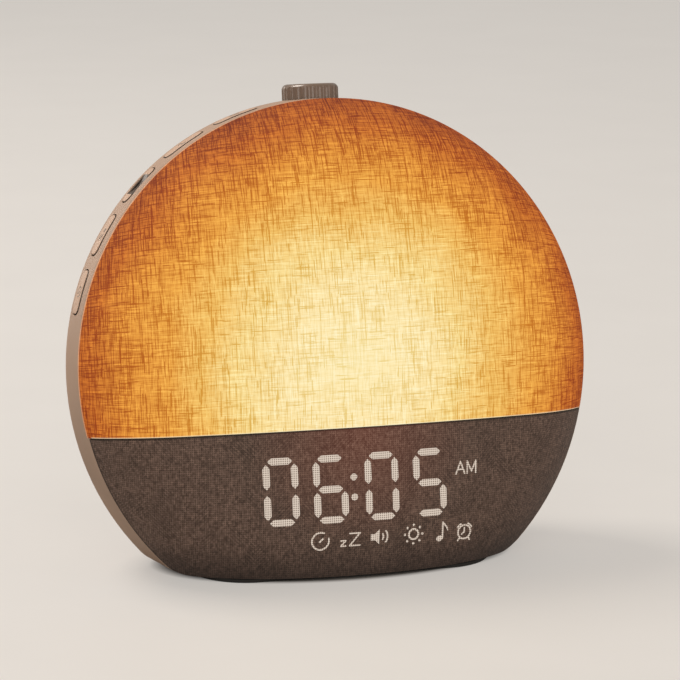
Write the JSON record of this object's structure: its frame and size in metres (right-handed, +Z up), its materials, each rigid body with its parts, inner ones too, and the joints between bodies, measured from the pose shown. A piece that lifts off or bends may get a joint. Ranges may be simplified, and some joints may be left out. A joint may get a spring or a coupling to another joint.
{
  "type": "sunrise alarm clock",
  "caption": "Leaning flat-bottomed disc clock: lit linen dome over a cloth-covered digit display, side buttons, turn-and-press knob on top, grille and power inlet behind.",
  "frame": {"origin": "on the resting surface, straight below the centre of the face's round rim", "axes": "+Z up, the face looks along -Y leaning back, +X to the right as seen from the front"},
  "size_m": [0.1908, 0.0895, 0.1687],
  "materials": {
    "linen": "woven slub linen, lit from behind",
    "cloth": "heathered fine weave",
    "diffuser": "translucent",
    "panel": "fine texture",
    "shelf": "matt",
    "housing": "fine texture",
    "pad": "matt",
    "button": "fine texture",
    "inlay": "satin",
    "knob": "fine texture",
    "reflector": "white",
    "lamp_board": "white mask on aluminium",
    "led": "clear yellow",
    "board": "solder mask",
    "screw": "zinc",
    "mask": "black",
    "light_pipe": "milky, lit",
    "display_led": "white",
    "chip": "moulded",
    "capacitor": "can",
    "holder": "black",
    "cell": "plated",
    "ribbon": "flat cable",
    "socket": "ivory",
    "inlet": "plated shell",
    "gasket": "foam",
    "basket": "black",
    "surround": "satin",
    "cone": "pressed paper",
    "magnet": "ferrite",
    "bracket": "grey",
    "flex": "polyimide",
    "switch": "black",
    "plunger": "moulded",
    "encoder": "die-cast",
    "rotor": "moulded",
    "nut": "zinc",
    "shaft": "turned"
  },
  "bodies": {
    "case": {"back_cover": "housing", "backup_cell": "cell", "base_pad": "pad", "board_chips": "chip", "bracket_screws": "screw", "button_bracket": "bracket", "capacitors": "capacitor", "case_screws": "screw", "cell_holder": "holder", "cloth_cover": "cloth", "display_board": "board", "display_inserts": "light_pipe", "display_leds": "display_led", "display_mask": "mask", "display_ribbon": "ribbon", "display_screws": "screw", "divider_shelf": "shelf", "encoder_board": "board", "encoder_body": "encoder", "encoder_nut": "nut", "front_diffuser": "diffuser", "housing_frame": "housing", "inlet_board": "board", "inlet_screws": "screw", "lamp_board": "lamp_board", "lamp_board_screws": "screw", "lamp_leds": "led", "linen_cover": "linen", "lower_panel": "panel", "main_board": "board", "main_board_screws": "screw", "power_inlet": "inlet", "reflector": "reflector", "ribbon_sockets": "socket", "speaker_basket": "basket", "speaker_cone": "cone", "speaker_gasket": "gasket", "speaker_magnet": "magnet", "speaker_screws": "screw", "speaker_surround": "surround", "switch_bodies": "switch", "switch_strip": "flex"},
    "encoder_rotor": {"encoder_rotor": "rotor"},
    "knob": {"knob": "knob", "knob_shaft": "shaft"},
    "alarm_button": {"alarm_button": "button", "alarm_plunger": "plunger"},
    "sound_button": {"sound_button": "button", "sound_plunger": "plunger"},
    "light_button": {"light_button": "button", "light_plunger": "plunger", "light_button_inlay": "inlay"},
    "sleep_button": {"sleep_button": "button", "sleep_plunger": "plunger"},
    "timer_button": {"timer_button": "button", "timer_plunger": "plunger"}
  },
  "joints": [
    {"name": "knob_turn", "type": "hinge", "parent": "case", "child": "encoder_rotor", "pos_m": [0, 0.01851, 0.06814], "axis": [0, 0.1736, 0.9848], "continuous": true},
    {"name": "knob_press", "type": "slide", "parent": "encoder_rotor", "child": "knob", "axis": [0, -0.1736, -0.9848], "range_m": [0, 0.0005], "stiffness_N_per_m": 6000},
    {"name": "alarm_press", "type": "slide", "parent": "case", "child": "alarm_button", "axis": [0.3223, -0.1644, -0.9323], "range_m": [0, 0.0005], "stiffness_N_per_m": 5000},
    {"name": "sound_press", "type": "slide", "parent": "case", "child": "sound_button", "axis": [0.5299, -0.1473, -0.8352], "range_m": [0, 0.0005], "stiffness_N_per_m": 5000},
    {"name": "light_press", "type": "slide", "parent": "case", "child": "light_button", "axis": [0.7096, -0.1224, -0.6939], "range_m": [0, 0.0005], "stiffness_N_per_m": 5000},
    {"name": "sleep_press", "type": "slide", "parent": "case", "child": "sleep_button", "axis": [0.8517, -0.091, -0.516], "range_m": [0, 0.0005], "stiffness_N_per_m": 5000},
    {"name": "timer_press", "type": "slide", "parent": "case", "child": "timer_button", "axis": [0.9489, -0.0548, -0.3109], "range_m": [0, 0.0005], "stiffness_N_per_m": 5000}
  ]
}
